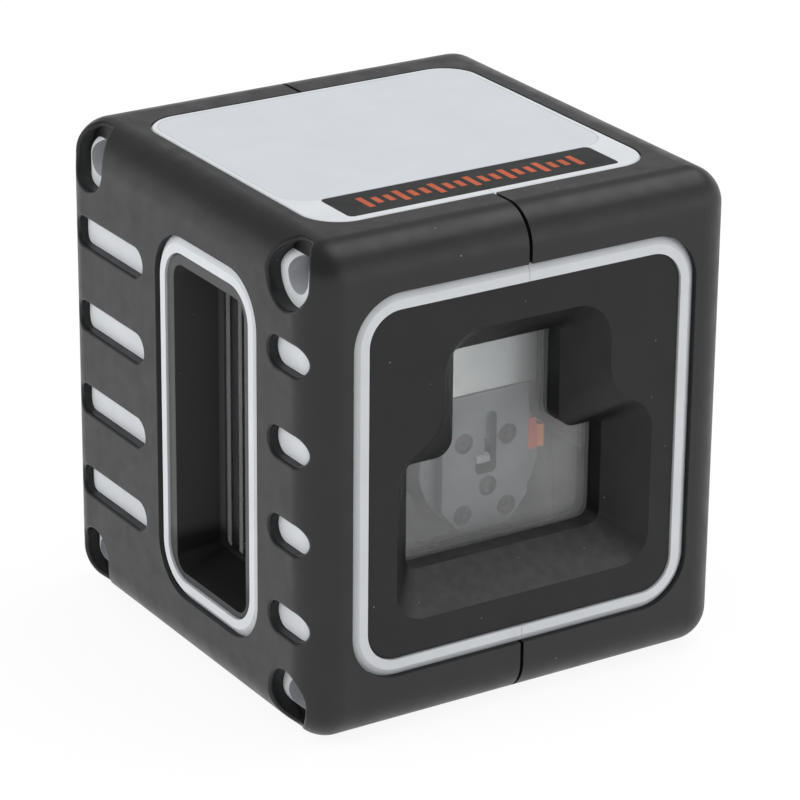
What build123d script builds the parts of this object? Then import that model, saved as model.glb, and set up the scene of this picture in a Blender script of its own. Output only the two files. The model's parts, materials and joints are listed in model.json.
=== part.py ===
from build123d import *
import os
from math import hypot, sqrt

os.makedirs("parts", exist_ok=True)

# A cube-shaped self-levelling laser level, in millimetres. It stands on Z = 0 with its origin under
# its middle. The crossed beams leave the front, towards -Y, and the single vertical beam the left side,
# towards -X.

# Housing
WIDTH = 76.0
DEPTH = 77.0
HEIGHT = 80.0
EDGE_RADIUS = 6.0
SKIN = 2.5
WALL = 2.2
SEAM = 0.3
HALF_GAP = 0.04

# Raised rims of the hard shell, which frame the openings of the rubber skin
RIM_WIDTH = 2.8
RIM_CREST = 0.2
RIM_FOOT = 1.1
RIM_BEVEL = 1.3
RIM_RADIUS = 8.2
FIT = 0.08

# Front opening, measured to the outer foot of its rim
FRONT_HALF_X = 30.8
FRONT_HALF_Z = 31.2
FRONT_Z = 40.6

# Tall side opening, measured in the same way
SIDE_HALF_Y = 15.5
SIDE_HALF_Z = 30.3
SIDE_Y = -7.1
SIDE_Z = 40.7

# Top panel and what lies on it
PANEL_HALF_X = 30.1
PANEL_HALF_Y = 28.45
PANEL_RADIUS = 6.5
PANEL_BEVEL = 0.45
FOIL_THICKNESS = 0.15
FOIL_EDGE = 1.1
BAND_BACK = -17.7
BAND_FRONT = -26.7
BAND_HALF_X = 24.3
BAND_RADIUS = 1.0

# Grip openings through the skin
GRIP_ROWS = 4
GRIP_PITCH = 14.35
GRIP_Z = 40.6
GRIP_HEIGHT = 4.9
LONG_GRIP_FROM = 12.7
LONG_GRIP_TO = 34.3
SHORT_GRIP_FROM = -35.5
SHORT_GRIP_TO = -25.9
GRIP_SINK = 1.75
SOFT_EDGE = 0.5

# Screw wells in the corners of the left side
WELL_Y = 30.5
WELL_FROM_EDGE = 5.8
WELL_SKIN_RADII = [4.9, 4.5]
WELL_LIFT = 0.45
WELL_RADIUS = 2.8
WELL_DEPTH = 5.0
BOSS_RADIUS = 4.0
SCREW_RADIUS = 1.5
SCREW_LENGTH = 44.0

# Recess of the front bezel, an upside-down T about the beam's middle
BEAM_X = 0.5
BEZEL_SINK = 0.5
TEE_LOW = 23.2
TEE_STEM = 15.05
TEE_TOP = 63.1
TEE_NECK = 48.2
TEE_SHOULDER = 43.4
TEE_BOTTOM = 17.8
TEE_DRAFT = 5.3
WINDOW_SHOULDER = 40.7
TEE_SLOPE_DEPTH = 6.5
GLASS_DEPTH = 9.8
GLASS = 1.0
LEDGE = 0.5
LEDGE_WIDTH = 0.4
BEZEL_WALL = 1.4

# Recess of the side bezel
SLIT_Y = -7.45
SLIT_Z = 40.4
SLIT_HALF_Y = 10.75
SLIT_HALF_Z = 25.8
SLIT_DRAFT = 2.3
SLIT_DEPTH = 8.1
SLIT_LEDGE = 2.0

# Levelling unit: the point where the two tilt axes cross
PIVOT_X = 1.4
PIVOT_Y = -4.0
PIVOT_Z = 54.0
RING_OUTER = 14.0
RING_INNER = 10.6
RING_HEIGHT = 5.0
PIN_RADIUS = 0.75
PIN_FIT = 0.03
BEARING_RADIUS = 1.5

# Pendulum
BODY_HALF_X = 11.0
BODY_FRONT = -18.6
BODY_BACK = 8.0
BODY_TOP = 46.0
BODY_BOTTOM = 20.5
BEAM_Z = 34.5
BARREL_RADIUS = 5.5
COLLAR_RADIUS = 11.2
PLATE_FACE = -25.2
PLATE_THICKNESS = 1.6
PLATE_HALF_X = 7.95
PLATE_TOP = 46.4
PLATE_BOTTOM = 23.5
BLOCK_FACE = -25.8
BLOCK_BACK = -20.4
BLOCK_BOTTOM = 46.7
BLOCK_TOP = 61.0
BLOCK_LEFT = -11.5
BLOCK_RIGHT = 10.4
SIDE_BEAM_Y = -7.5
SIDE_BEAM_Z = 39.5
SIDE_BARREL_RADIUS = 4.5
SIDE_BARREL_TIP = -23.5
DISC_RADIUS = 12.0
DISC_BOTTOM = 16.4

# Transport lock
LOCK_TRAVEL = 8.0
LOCK_LIFT = 1.2
LOCK_ARM_Z = 6.9
PLUNGER_RADIUS = 2.5

# Frames, boards and their small screws
FRAME_TOP = 68.5
FRAME_THICKNESS = 2.5
FRAME_SCREWS = [(x, y) for x in (-15.0, 15.0) for y in (-13.5, 5.5)]
POST_RADIUS = 3.0
SMALL_SCREW = 0.9
BOARD_X = 26.0
BOARD_THICKNESS = 1.6
BOARD_SCREWS = [(y, z) for y in (-22.5, 12.5) for z in (31.0, 62.0)]
BASE_FRAME_Z = 10.6
BASE_FRAME_THICKNESS = 2.0
BASE_POSTS = [(x, y) for x in (-13.5, 16.5) for y in (-18.5, 11.5)]

# Battery compartment
CELL_RADIUS = 7.1
CELL_LENGTH = 49.5
CELL_PITCH = 15.2
CELL_Y = 26.2
DOOR_THICKNESS = 2.0
DOOR_HINGE_Z = 13.5
DOOR_HINGE_SINK = 1.4

# Planes that lie on the outer faces, each looking out of the housing
FRONT = Plane(origin=(0, -DEPTH / 2, FRONT_Z), x_dir=(1, 0, 0), z_dir=(0, -1, 0))
REAR = Plane(origin=(0, DEPTH / 2, FRONT_Z), x_dir=(-1, 0, 0), z_dir=(0, 1, 0))
LEFT = Plane(origin=(-WIDTH / 2, SIDE_Y, SIDE_Z), x_dir=(0, -1, 0), z_dir=(-1, 0, 0))
RIGHT = Plane(origin=(WIDTH / 2, SIDE_Y, SIDE_Z), x_dir=(0, 1, 0), z_dir=(1, 0, 0))
TOP = Plane.XY.offset(HEIGHT)
SHELL = SKIN + WALL


def finish(part, name):
    """Label a finished piece and write it to its own file."""
    part.label = name
    export_step(part, "parts/" + name + ".step")


def rounded_block(inset):
    """The housing's outer form, shrunk by inset on every side."""
    with BuildPart() as block:
        with Locations((0, 0, HEIGHT / 2)):
            Box(WIDTH - 2 * inset, DEPTH - 2 * inset, HEIGHT - 2 * inset)
        fillet(block.edges(), EDGE_RADIUS - inset)
    return block.part


def opening_prism(face, half_x, half_y, radius, outer, inner):
    """A rounded rectangular prism on a face, from depth outer down to depth inner."""
    with BuildPart() as prism:
        with BuildSketch(face.offset(-inner)):
            RectangleRounded(2 * half_x, 2 * half_y, radius)
        extrude(amount=inner - outer)
    return prism.part


def rim(face, half_x, half_y):
    """A raised frame that grows out of the hard shell, with its outer edge bevelled."""
    with BuildPart() as frame:
        with BuildSketch(face.offset(-SKIN - 0.5)):
            RectangleRounded(2 * half_x, 2 * half_y, RIM_RADIUS)
        extrude(amount=SKIN + 0.5 - RIM_FOOT)
        with BuildSketch(face.offset(-RIM_FOOT)):
            RectangleRounded(2 * half_x, 2 * half_y, RIM_RADIUS)
        with BuildSketch(face.offset(-RIM_CREST)):
            RectangleRounded(2 * (half_x - RIM_BEVEL), 2 * (half_y - RIM_BEVEL), RIM_RADIUS - RIM_BEVEL)
        loft()
    return frame.part


def grips(shrink):
    """Long grip slots behind the side window and short ones on the front corner."""
    with BuildSketch(Plane.YZ) as slots:
        for start, end in ((LONG_GRIP_FROM, LONG_GRIP_TO), (SHORT_GRIP_FROM, SHORT_GRIP_TO)):
            with Locations(((start + end) / 2, GRIP_Z)):
                with GridLocations(1, GRIP_PITCH, 1, GRIP_ROWS):
                    SlotOverall(end - start - 2 * shrink, GRIP_HEIGHT - 2 * shrink)
    return slots.sketch


# The openings on the front, rear, left and right: outer half sizes of their rims
OPENINGS = [
    (FRONT, FRONT_HALF_X, FRONT_HALF_Z),
    (REAR, FRONT_HALF_X, FRONT_HALF_Z),
    (LEFT, SIDE_HALF_Y, SIDE_HALF_Z),
    (RIGHT, SIDE_HALF_Y, SIDE_HALF_Z),
]
INNER_RADIUS = RIM_RADIUS - RIM_WIDTH
WELL_CENTRES = [(y, z) for y in (-WELL_Y, WELL_Y) for z in (WELL_FROM_EDGE, HEIGHT - WELL_FROM_EDGE)]
GRIP_FIT = 0.03
INSERT_RADIUS = 5.0
INSERT_TOP = 6.2

# Top panel: a low plateau of the hard shell, flush with the skin round it
with BuildPart() as plateau:
    with BuildSketch(TOP.offset(-SKIN - 0.5)):
        RectangleRounded(2 * PANEL_HALF_X, 2 * PANEL_HALF_Y, PANEL_RADIUS)
    extrude(amount=SKIN + 0.5)
    chamfer(plateau.faces().sort_by(Axis.Z)[-1].edges(), PANEL_BEVEL)

# Base panel: the same on the underside, a little short of the ground
BASE_HALF_X = 24.0
BASE_HALF_Y = 24.0
BASE_SINK = 0.6
with BuildPart() as base_panel:
    with BuildSketch(Plane.XY.offset(BASE_SINK)):
        RectangleRounded(2 * BASE_HALF_X, 2 * BASE_HALF_Y, PANEL_RADIUS)
    extrude(amount=SKIN)

# Screw bosses run the whole width along the four corners
with BuildPart() as corner_bosses:
    with BuildSketch(Plane.YZ):
        with Locations(*WELL_CENTRES):
            Circle(BOSS_RADIUS)
    extrude(amount=WIDTH / 2, both=True)
    add(rounded_block(SKIN), mode=Mode.INTERSECT)

# Pads of the hard shell fill the foot of the grip slots
with BuildPart() as grip_pads:
    add(rounded_block(GRIP_SINK))
    add(rounded_block(SKIN + 0.5), mode=Mode.SUBTRACT)
    extrude(grips(GRIP_FIT), amount=WIDTH, both=True, mode=Mode.INTERSECT)

# Posts under the top wall carry the levelling unit's frame
with BuildPart() as frame_posts:
    with BuildSketch(Plane.XY.offset(FRAME_TOP)):
        with Locations(*FRAME_SCREWS):
            Circle(POST_RADIUS)
    extrude(amount=HEIGHT - SHELL + 0.5 - FRAME_TOP)
    with BuildSketch(Plane.XY.offset(FRAME_TOP)):
        with Locations(*FRAME_SCREWS):
            Circle(SMALL_SCREW)
    extrude(amount=5, mode=Mode.SUBTRACT)

# Posts on the right wall carry the circuit board
with BuildPart() as board_posts:
    with BuildSketch(Plane.YZ.offset(BOARD_X + BOARD_THICKNESS)):
        with Locations(*BOARD_SCREWS):
            Circle(POST_RADIUS - 0.8)
    extrude(amount=WIDTH / 2 - SHELL + 0.5 - BOARD_X - BOARD_THICKNESS)
    with BuildSketch(Plane.YZ.offset(BOARD_X + BOARD_THICKNESS)):
        with Locations(*BOARD_SCREWS):
            Circle(SMALL_SCREW)
    extrude(amount=4, mode=Mode.SUBTRACT)

# Both hard halves in one piece, before they are parted at X = 0
with BuildPart() as hard_shell:
    add(rounded_block(SKIN))
    add(rounded_block(SHELL), mode=Mode.SUBTRACT)
    for face, half_x, half_y in OPENINGS:
        add(rim(face, half_x, half_y))
    add(plateau.part)
    add(base_panel.part)
    add(corner_bosses.part)
    add(grip_pads.part)
    add(frame_posts.part)
    add(board_posts.part)
    # Boss round the tripod insert
    with BuildSketch(Plane.XY.offset(BASE_SINK)):
        Circle(INSERT_RADIUS + 1.8)
    extrude(amount=INSERT_TOP - BASE_SINK)
    with BuildSketch(Plane.XY.offset(BASE_SINK - 0.1)):
        Circle(INSERT_RADIUS)
    extrude(amount=INSERT_TOP, mode=Mode.SUBTRACT)
    for face, half_x, half_y in OPENINGS:
        inside = opening_prism(face, half_x - RIM_WIDTH, half_y - RIM_WIDTH, INNER_RADIUS, -1, SHELL + 1)
        add(inside, mode=Mode.SUBTRACT)
    # Shallow bed that takes the top foil and the dark band
    with BuildSketch(TOP.offset(-FOIL_THICKNESS)):
        with Locations((0, (PANEL_HALF_Y - FOIL_EDGE + BAND_BACK) / 2)):
            RectangleRounded(
                2 * (PANEL_HALF_X - FOIL_EDGE), PANEL_HALF_Y - FOIL_EDGE - BAND_BACK, PANEL_RADIUS - FOIL_EDGE
            )
        with Locations((0, (BAND_BACK + BAND_FRONT) / 2)):
            RectangleRounded(2 * BAND_HALF_X, BAND_BACK - BAND_FRONT, BAND_RADIUS)
    extrude(amount=FOIL_THICKNESS, mode=Mode.SUBTRACT)
    # Bores of the housing screws, with wells for their heads on the left
    with BuildSketch(Plane.YZ.offset(-WIDTH / 2)):
        with Locations(*WELL_CENTRES):
            Circle(SCREW_RADIUS + 0.1)
    extrude(amount=SKIN + WELL_DEPTH + SCREW_LENGTH + 1.5, mode=Mode.SUBTRACT)
    with BuildSketch(Plane.YZ.offset(-WIDTH / 2)):
        with Locations(*WELL_CENTRES):
            Circle(WELL_RADIUS)
    extrude(amount=SKIN + WELL_DEPTH, mode=Mode.SUBTRACT)

HINGE_Y = DEPTH / 2 - DOOR_HINGE_SINK
HINGE_PIN_RADIUS = 0.6
HINGE_PIN_TIP = 27.5
with BuildPart() as hinge_sockets:
    with BuildSketch(Plane.YZ):
        with Locations((HINGE_Y, DOOR_HINGE_Z)):
            Circle(HINGE_PIN_RADIUS + 0.06)
    extrude(amount=HINGE_PIN_TIP + 0.15, both=True)

with BuildPart() as left_shell:
    add(hard_shell.part)
    add(hinge_sockets.part, mode=Mode.SUBTRACT)
    split(bisect_by=Plane.YZ.offset(-HALF_GAP), keep=Keep.BOTTOM)
finish(left_shell.part, "left_shell")

with BuildPart() as right_shell:
    add(hard_shell.part)
    add(hinge_sockets.part, mode=Mode.SUBTRACT)
    split(bisect_by=Plane.YZ.offset(HALF_GAP), keep=Keep.TOP)
finish(right_shell.part, "right_shell")

WELL_CUT = 1.6
WELL_HEIGHTS = [HEIGHT - WELL_FROM_EDGE, WELL_FROM_EDGE + WELL_LIFT]


def well_rim(edge, z, radius):
    """Whether an edge of the skin is part of a well's outer rim."""
    middle = edge.position_at(0.5)
    off_circle = abs(hypot(abs(middle.Y) - WELL_Y, middle.Z - z) - radius)
    return off_circle < 0.01 and middle.X < -WIDTH / 2 + SKIN + 1


# Rubber skin over both halves, before it is parted at X = 0, with soft edges round its slots and wells
with BuildPart() as rubber:
    add(rounded_block(0))
    extrude(grips(0), amount=WIDTH, both=True, mode=Mode.SUBTRACT)
    slot_edges = rubber.edges(Select.LAST).filter_by(Axis.X, reverse=True).filter_by(Axis.Z, reverse=True)
    half_rows = GRIP_ROWS * GRIP_PITCH / 2
    fillet(slot_edges.filter_by_position(Axis.Z, GRIP_Z - half_rows, GRIP_Z + half_rows), SOFT_EDGE)
    for z, radius in zip(WELL_HEIGHTS, WELL_SKIN_RADII):
        with BuildSketch(Plane.YZ.offset(-WIDTH / 2)):
            with Locations((-WELL_Y, z), (WELL_Y, z)):
                Circle(radius)
        extrude(amount=SKIN + WELL_CUT, mode=Mode.SUBTRACT)
        curved = rubber.edges().filter_by(Axis.X, reverse=True)
        fillet(curved.filter_by(lambda edge: well_rim(edge, z, radius)), SOFT_EDGE)
    add(rounded_block(SKIN), mode=Mode.SUBTRACT)
    for face, half_x, half_y in OPENINGS:
        add(opening_prism(face, half_x, half_y, RIM_RADIUS, -1, SKIN + 1), mode=Mode.SUBTRACT)
    add(opening_prism(TOP, PANEL_HALF_X, PANEL_HALF_Y, PANEL_RADIUS, -1, SKIN + 1), mode=Mode.SUBTRACT)
    with BuildSketch(Plane.XY):
        RectangleRounded(2 * BASE_HALF_X, 2 * BASE_HALF_Y, PANEL_RADIUS)
    extrude(amount=SKIN + 1, mode=Mode.SUBTRACT)

with BuildPart() as left_skin:
    add(rubber.part)
    split(bisect_by=Plane.YZ.offset(-SEAM), keep=Keep.BOTTOM)
finish(left_skin.part, "left_skin")

with BuildPart() as right_skin:
    add(rubber.part)
    split(bisect_by=Plane.YZ.offset(SEAM), keep=Keep.TOP)
finish(right_skin.part, "right_skin")


def tee_face(depth, low, stem, top, neck, shoulder, bottom, radii):
    """An upside-down T at a depth behind the front; radii: base, shoulder, neck and top corners."""
    base, outer, inner, head = radii
    plane = Plane(origin=(BEAM_X, -DEPTH / 2 + depth, 0), x_dir=(1, 0, 0), z_dir=(0, -1, 0))
    with BuildSketch(plane) as face:
        with BuildLine():
            FilletPolyline(
                (-low, bottom),
                (low, bottom),
                (low, shoulder),
                (stem, neck),
                (stem, top),
                (-stem, top),
                (-stem, neck),
                (-low, shoulder),
                radius=[base, base, outer, inner, head, head, inner, outer],
                close=True,
            )
        make_face()
    return face.sketch


def mouth_face(depth):
    """The outline in which the T recess leaves the bezel's face, with sloping shoulders."""
    return tee_face(depth, TEE_LOW, TEE_STEM, TEE_TOP, TEE_NECK, TEE_SHOULDER, TEE_BOTTOM, MOUTH_RADII)


def window_face(depth, shrink, radii):
    """The straight-sided T at the bottom of the recess, shrunk all round."""
    inset = TEE_DRAFT + shrink
    level = WINDOW_SHOULDER - shrink
    return tee_face(
        depth, TEE_LOW - inset, TEE_STEM - inset, TEE_TOP - inset, level, level, TEE_BOTTOM + inset, radii
    )


MOUTH_RADII = (5.0, 5.5, 8.0, 6.6)
WINDOW_RADII = (2.2, 0.8, 3.0, 0.8)
OUTER_RADII = (3.0, 2.0, 2.0, 2.0)
GLASS_BACK = GLASS_DEPTH + GLASS
FLANGE = 1.2
FLANGE_GROWTH = 1.5

# Front bezel: a plate inside the rim, a flange behind the shell wall and the T recess to the window
with BuildPart() as front_bezel:
    half_x = FRONT_HALF_X - RIM_WIDTH
    half_z = FRONT_HALF_Z - RIM_WIDTH
    add(opening_prism(FRONT, half_x - FIT, half_z - FIT, INNER_RADIUS - FIT, BEZEL_SINK, SHELL + 0.1))
    fillet(front_bezel.faces().sort_by(Axis.Y)[0].edges(), 0.35)
    add(
        opening_prism(
            FRONT, half_x + FLANGE_GROWTH, half_z + FLANGE_GROWTH, INNER_RADIUS, SHELL + 0.05, SHELL + FLANGE
        )
    )
    extrude(window_face(SHELL, -BEZEL_WALL, OUTER_RADII), amount=SHELL - GLASS_BACK - LEDGE)
    extrude(mouth_face(BEZEL_SINK), amount=1, mode=Mode.SUBTRACT)
    loft(
        [mouth_face(BEZEL_SINK).face(), window_face(TEE_SLOPE_DEPTH, 0, WINDOW_RADII).face()],
        mode=Mode.SUBTRACT,
    )
    extrude(
        window_face(TEE_SLOPE_DEPTH, 0, WINDOW_RADII), amount=TEE_SLOPE_DEPTH - GLASS_BACK, mode=Mode.SUBTRACT
    )
    extrude(
        window_face(GLASS_DEPTH, LEDGE_WIDTH, WINDOW_RADII),
        amount=GLASS_DEPTH - GLASS_BACK - LEDGE - 1,
        mode=Mode.SUBTRACT,
    )
finish(front_bezel.part, "front_bezel")

with BuildPart() as front_window:
    extrude(window_face(GLASS_BACK - 0.02, 0.04, WINDOW_RADII), amount=GLASS)
finish(front_window.part, "front_window")


def slit_face(depth, shrink_y, shrink_z, radius):
    """The tall recess's section at a depth behind the left side."""
    plane = Plane(origin=(-WIDTH / 2 + depth, SLIT_Y, SLIT_Z), x_dir=(0, -1, 0), z_dir=(-1, 0, 0))
    with BuildSketch(plane) as face:
        RectangleRounded(2 * (SLIT_HALF_Y - shrink_y), 2 * (SLIT_HALF_Z - shrink_z), radius)
    return face.sketch


SLIT_RADIUS = 2.6
SLIT_FLOOR_RADIUS = 1.0
SLIT_POCKET_BACK = SLIT_DEPTH + 0.4 + GLASS

# Side bezel: the same build round the tall recess
with BuildPart() as side_bezel:
    half_y = SIDE_HALF_Y - RIM_WIDTH
    half_z = SIDE_HALF_Z - RIM_WIDTH
    add(opening_prism(LEFT, half_y - FIT, half_z - FIT, INNER_RADIUS - FIT, BEZEL_SINK, SHELL + 0.1))
    fillet(side_bezel.faces().sort_by(Axis.X)[0].edges(), 0.35)
    add(
        opening_prism(
            LEFT, half_y + FLANGE_GROWTH, half_z + FLANGE_GROWTH, INNER_RADIUS, SHELL + 0.05, SHELL + FLANGE
        )
    )
    extrude(slit_face(SHELL, -BEZEL_WALL, -BEZEL_WALL, SLIT_RADIUS), amount=SHELL - SLIT_POCKET_BACK - LEDGE)
    extrude(slit_face(BEZEL_SINK, 0, 0, SLIT_RADIUS), amount=1, mode=Mode.SUBTRACT)
    loft(
        [
            slit_face(BEZEL_SINK, 0, 0, SLIT_RADIUS).face(),
            slit_face(SLIT_DEPTH, 0.3, SLIT_DRAFT, SLIT_FLOOR_RADIUS).face(),
        ],
        mode=Mode.SUBTRACT,
    )
    extrude(
        slit_face(SLIT_DEPTH, SLIT_LEDGE, SLIT_DRAFT + 0.8, SLIT_FLOOR_RADIUS),
        amount=SLIT_DEPTH - SLIT_POCKET_BACK,
        mode=Mode.SUBTRACT,
    )
    extrude(
        slit_face(SLIT_DEPTH, SLIT_LEDGE + 1.5, SLIT_DRAFT + 2, SLIT_FLOOR_RADIUS),
        amount=SLIT_DEPTH - SLIT_POCKET_BACK - LEDGE - 1,
        mode=Mode.SUBTRACT,
    )
finish(side_bezel.part, "side_bezel")

with BuildPart() as side_window:
    extrude(
        slit_face(SLIT_POCKET_BACK - 0.02, SLIT_LEDGE + 0.04, SLIT_DRAFT + 0.84, SLIT_FLOOR_RADIUS),
        amount=GLASS,
    )
finish(side_window.part, "side_window")

# Plain foil on the top panel, and the dark band, which is parted at the seam
FILM_PLAY = 0.1
with BuildPart() as top_foil:
    with BuildSketch(TOP.offset(-FOIL_THICKNESS)):
        with Locations((0, (PANEL_HALF_Y - FOIL_EDGE + BAND_BACK) / 2)):
            RectangleRounded(
                2 * (PANEL_HALF_X - FOIL_EDGE - FILM_PLAY),
                PANEL_HALF_Y - FOIL_EDGE - BAND_BACK - 2 * FILM_PLAY,
                PANEL_RADIUS - FOIL_EDGE - FILM_PLAY,
            )
    extrude(amount=FOIL_THICKNESS - 0.02)
finish(top_foil.part, "top_foil")

with BuildPart() as band:
    with BuildSketch(TOP.offset(-FOIL_THICKNESS)):
        with Locations((0, (BAND_BACK + BAND_FRONT) / 2)):
            RectangleRounded(
                2 * (BAND_HALF_X - FILM_PLAY), BAND_BACK - BAND_FRONT - 2 * FILM_PLAY, BAND_RADIUS - FILM_PLAY
            )
        with Locations((0, (PANEL_HALF_Y - FOIL_EDGE + BAND_BACK) / 2)):
            Rectangle(
                2 * (PANEL_HALF_X - FOIL_EDGE), PANEL_HALF_Y - FOIL_EDGE - BAND_BACK + 0.1, mode=Mode.SUBTRACT
            )
    extrude(amount=FOIL_THICKNESS - 0.02)
for name, cut, keep in (("band_left", -HALF_GAP, Keep.BOTTOM), ("band_right", HALF_GAP, Keep.TOP)):
    with BuildPart() as half_band:
        add(band.part)
        split(bisect_by=Plane.YZ.offset(cut), keep=keep)
    finish(half_band.part, name)


def round_screw(plane, head_radius, head_height, shank_radius, length, recess):
    """A screw whose head sits on the plane and looks along its normal, with a hexagon recess."""
    with BuildPart() as screw:
        with BuildSketch(plane):
            Circle(head_radius)
        extrude(amount=head_height)
        fillet(screw.faces().sort_by(Axis(plane.origin, plane.z_dir))[-1].edges(), 0.3 * head_height)
        with BuildSketch(plane):
            Circle(shank_radius)
        extrude(amount=-length)
        with BuildSketch(plane.offset(head_height)):
            RegularPolygon(recess, 6)
        extrude(amount=-0.6 * head_height, mode=Mode.SUBTRACT)
    return screw.part


def screw_group(name, planes, head_radius, head_height, shank_radius, length, recess):
    """Like screws, one for each plane, written as one piece of separate solids."""
    screws = [round_screw(plane, head_radius, head_height, shank_radius, length, recess) for plane in planes]
    finish(Compound(children=screws), name)


WELL_FLOOR_X = -WIDTH / 2 + SKIN + WELL_DEPTH
well_planes = [Plane(origin=(WELL_FLOOR_X, y, z), x_dir=(0, 1, 0), z_dir=(-1, 0, 0)) for y, z in WELL_CENTRES]
screw_group("housing_screws", well_planes, 2.6, 2.2, SCREW_RADIUS, SCREW_LENGTH, 1.3)
frame_planes = [
    Plane(origin=(x, y, FRAME_TOP - FRAME_THICKNESS), x_dir=(1, 0, 0), z_dir=(0, 0, -1))
    for x, y in FRAME_SCREWS
]
screw_group("frame_screws", frame_planes, 1.9, 1.6, SMALL_SCREW - 0.02, 6.5, 0.9)
board_planes = [Plane(origin=(BOARD_X, y, z), x_dir=(0, 1, 0), z_dir=(-1, 0, 0)) for y, z in BOARD_SCREWS]
screw_group("board_screws", board_planes, 1.7, 1.4, SMALL_SCREW - 0.02, 4.6, 0.8)

# Brass nut with the tripod thread, open at the bottom
THREAD_RADIUS = 2.6
with BuildPart() as tripod_insert:
    with BuildSketch(Plane.XY.offset(BASE_SINK + 0.2)):
        Circle(INSERT_RADIUS - 0.02)
        Circle(THREAD_RADIUS, mode=Mode.SUBTRACT)
    extrude(amount=INSERT_TOP - BASE_SINK - 0.2)
    chamfer(tripod_insert.edges().filter_by(GeomType.CIRCLE).sort_by(Axis.Z)[0:2], 0.35)
finish(tripod_insert.part, "tripod_insert")

# Controls on the right side
KNOB_Z = 22.0
KNOB_Y = SIDE_Y + LOCK_TRAVEL / 2
BUTTON_Z = 47.0
LIGHT_Z = 60.0
LIGHT_YS = (SIDE_Y - 4.0, SIDE_Y + 4.0)
PANEL_THICKNESS = 2.6
PANEL_BACK = WIDTH / 2 - BEZEL_SINK - PANEL_THICKNESS
KNOB_HALF_Y = 4.2
KNOB_HALF_Z = 3.6
DISH_DEPTH = 1.4
with BuildPart() as control_panel:
    half_y = SIDE_HALF_Y - RIM_WIDTH
    half_z = SIDE_HALF_Z - RIM_WIDTH
    foot = BEZEL_SINK + PANEL_THICKNESS
    add(opening_prism(RIGHT, half_y - FIT, half_z - FIT, INNER_RADIUS - FIT, BEZEL_SINK, foot))
    fillet(control_panel.faces().sort_by(Axis.X)[-1].edges(), 0.35)
    # Dish in which the lock knob travels, and the slot for its neck
    with BuildSketch(Plane.YZ.offset(WIDTH / 2 - BEZEL_SINK)):
        with Locations((SIDE_Y, KNOB_Z)):
            RectangleRounded(2 * KNOB_HALF_Y + LOCK_TRAVEL + 1.6, 2 * KNOB_HALF_Z + 1.6, 1.6)
    extrude(amount=-DISH_DEPTH, mode=Mode.SUBTRACT)
    with BuildSketch(Plane.YZ.offset(PANEL_BACK - 1)):
        with Locations((SIDE_Y, KNOB_Z)):
            RectangleRounded(LOCK_TRAVEL + 5.0, 4.0, 0.8)
        with Locations((SIDE_Y, BUTTON_Z)):
            Circle(4.2)
        with Locations(*[(y, LIGHT_Z) for y in LIGHT_YS]):
            Circle(1.3)
    extrude(amount=PANEL_THICKNESS + 2, mode=Mode.SUBTRACT)
finish(control_panel.part, "control_panel")

KNOB_TOP = WIDTH / 2 - 0.1
KNOB_FOOT = WIDTH / 2 - BEZEL_SINK - DISH_DEPTH + 0.15
CARRIAGE_X = 33.1
with BuildPart() as lock_slider:
    with BuildSketch(Plane.YZ.offset(KNOB_FOOT)):
        with Locations((KNOB_Y, KNOB_Z)):
            RectangleRounded(2 * KNOB_HALF_Y, 2 * KNOB_HALF_Z, 1.2)
    extrude(amount=KNOB_TOP - KNOB_FOOT)
    # Finger ribs
    with BuildSketch(Plane.YZ.offset(KNOB_TOP - 0.6)):
        with Locations((KNOB_Y, KNOB_Z)):
            with GridLocations(1.7, 1, 4, 1):
                Rectangle(0.8, 2 * KNOB_HALF_Z + 1)
    extrude(amount=1, mode=Mode.SUBTRACT)
    # Neck through the panel and the carriage behind it
    with BuildSketch(Plane.YZ.offset(CARRIAGE_X)):
        with Locations((KNOB_Y, KNOB_Z)):
            Rectangle(4.4, 3.4)
    extrude(amount=KNOB_FOOT + 0.15 - CARRIAGE_X)
    with BuildSketch(Plane.YZ.offset(CARRIAGE_X)):
        with Locations((KNOB_Y, KNOB_Z)):
            RectangleRounded(10.0, 9.0, 1.0)
    extrude(amount=PANEL_BACK - 0.2 - CARRIAGE_X)
finish(lock_slider.part, "lock_slider")

# Bent steel arm under the pendulum, with a ramp that lifts the brake plunger
RAMP_SLOPE = LOCK_LIFT / LOCK_TRAVEL
ARM_THICKNESS = 1.2
ARM_WIDTH = 7.0
ARM_X = CARRIAGE_X - 0.02
ARM_TOP = 25.0
RAMP_LOW_Y = PIVOT_Y - PLUNGER_RADIUS - 1.0
RAMP_HIGH_Y = PIVOT_Y + LOCK_TRAVEL + PLUNGER_RADIUS + 1.0
RAMP_Z = LOCK_ARM_Z + ARM_THICKNESS + 0.6
with BuildPart() as lock_arm:
    with BuildSketch(Plane.XZ.offset(-KNOB_Y + ARM_WIDTH / 2)):
        with BuildLine():
            Polyline(
                (ARM_X, ARM_TOP),
                (ARM_X, LOCK_ARM_Z),
                (PIVOT_X + 3.5, LOCK_ARM_Z),
                (PIVOT_X + 3.5, LOCK_ARM_Z + ARM_THICKNESS),
                (ARM_X - ARM_THICKNESS, LOCK_ARM_Z + ARM_THICKNESS),
                (ARM_X - ARM_THICKNESS, ARM_TOP),
                close=True,
            )
        make_face()
    extrude(amount=-ARM_WIDTH)
    with BuildSketch(Plane.YZ.offset(PIVOT_X - 3.5)):
        with BuildLine():
            Polyline(
                (RAMP_LOW_Y, LOCK_ARM_Z),
                (RAMP_HIGH_Y, LOCK_ARM_Z),
                (RAMP_HIGH_Y, RAMP_Z + RAMP_SLOPE * (RAMP_HIGH_Y - PIVOT_Y)),
                (RAMP_LOW_Y, RAMP_Z + RAMP_SLOPE * (RAMP_LOW_Y - PIVOT_Y)),
                close=True,
            )
        make_face()
    extrude(amount=7.0 + 0.5)
finish(lock_arm.part, "lock_arm")

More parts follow.
